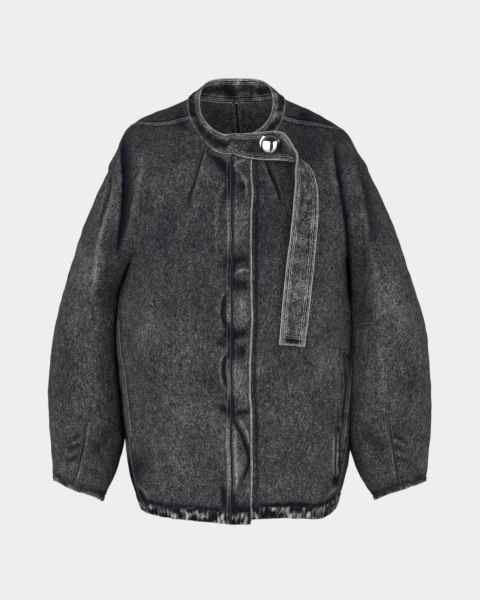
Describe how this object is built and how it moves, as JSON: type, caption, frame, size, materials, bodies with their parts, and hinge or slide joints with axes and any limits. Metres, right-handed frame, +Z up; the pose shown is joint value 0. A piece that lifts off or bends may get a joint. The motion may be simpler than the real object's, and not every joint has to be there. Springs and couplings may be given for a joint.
{
  "type": "denim jacket",
  "caption": "Hollow, filled-out denim jacket with a funnel collar whose end crosses the neck as a hanging strap under a domed stud.",
  "frame": {"origin": "midway between the high points of the shoulders, beside the neck, where the wearer holds the jacket", "axes": "+X towards the wearer's left, +Y towards the wearer's back, +Z up"},
  "size_m": [0.692, 0.3049, 0.7992],
  "materials": {
    "denim": "acid-washed charcoal denim",
    "denim_collar": "acid-washed charcoal denim, faded at the edges",
    "denim_placket": "acid-washed charcoal denim, creased",
    "steel": "mirror polished"
  },
  "bodies": {
    "root": {"front_left": "denim", "back_left": "denim", "back_right": "denim", "front_right": "denim", "sleeve_left_front": "denim", "sleeve_left_back": "denim", "sleeve_right_front": "denim", "sleeve_right_back": "denim", "front_placket": "denim_placket", "collar_band": "denim_collar", "collar_strap": "denim_collar", "pocket_welt_left": "denim", "pocket_welt_right": "denim", "stud_ring": "steel", "stud_dome": "steel"}
  },
  "joints": []
}
